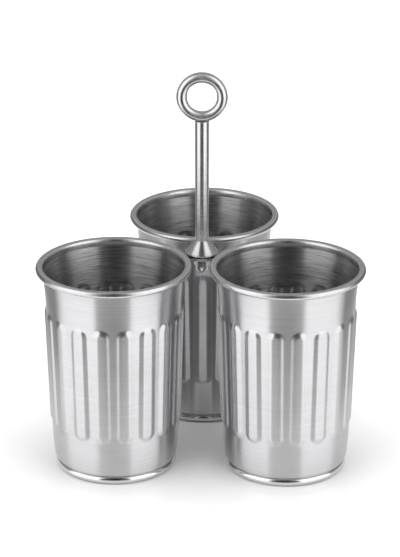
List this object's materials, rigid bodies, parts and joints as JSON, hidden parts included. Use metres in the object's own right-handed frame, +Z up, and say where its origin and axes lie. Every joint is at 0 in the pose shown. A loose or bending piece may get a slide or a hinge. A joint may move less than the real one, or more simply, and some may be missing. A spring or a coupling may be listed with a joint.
{
  "type": "serving caddy",
  "caption": "Table caddy of ribbed steel cups with rolled rims and foot rings, set round a central rod handle with a ring grip, for cutlery and serving pieces.",
  "frame": {"origin": "on the table, under the middle of the outline", "axes": "+Z up along the handle, +Y from the two front cups towards the back cup, +X to the right seen from the front"},
  "size_m": [0.188, 0.1748, 0.2281],
  "materials": {
    "brushed_steel": "brushed stainless sheet",
    "polished_steel": "polished stainless bar and rings"
  },
  "bodies": {
    "cups": {"cup_wall_left": "brushed_steel", "cup_wall_right": "brushed_steel", "cup_wall_back": "brushed_steel", "cup_floor_left": "brushed_steel", "cup_floor_right": "brushed_steel", "cup_floor_back": "brushed_steel", "foot_ring_left": "polished_steel", "foot_ring_right": "polished_steel", "foot_ring_back": "polished_steel", "spider_bracket": "brushed_steel", "collar_washer": "polished_steel", "cap_nut": "polished_steel"},
    "handle": {"handle_ring": "polished_steel", "handle_rod": "polished_steel", "cone_collar": "polished_steel"}
  },
  "joints": [
    {"name": "handle_unscrew", "type": "slide", "parent": "cups", "child": "handle", "axis": [0, 0, 1], "range_m": [0, 0.01]}
  ]
}
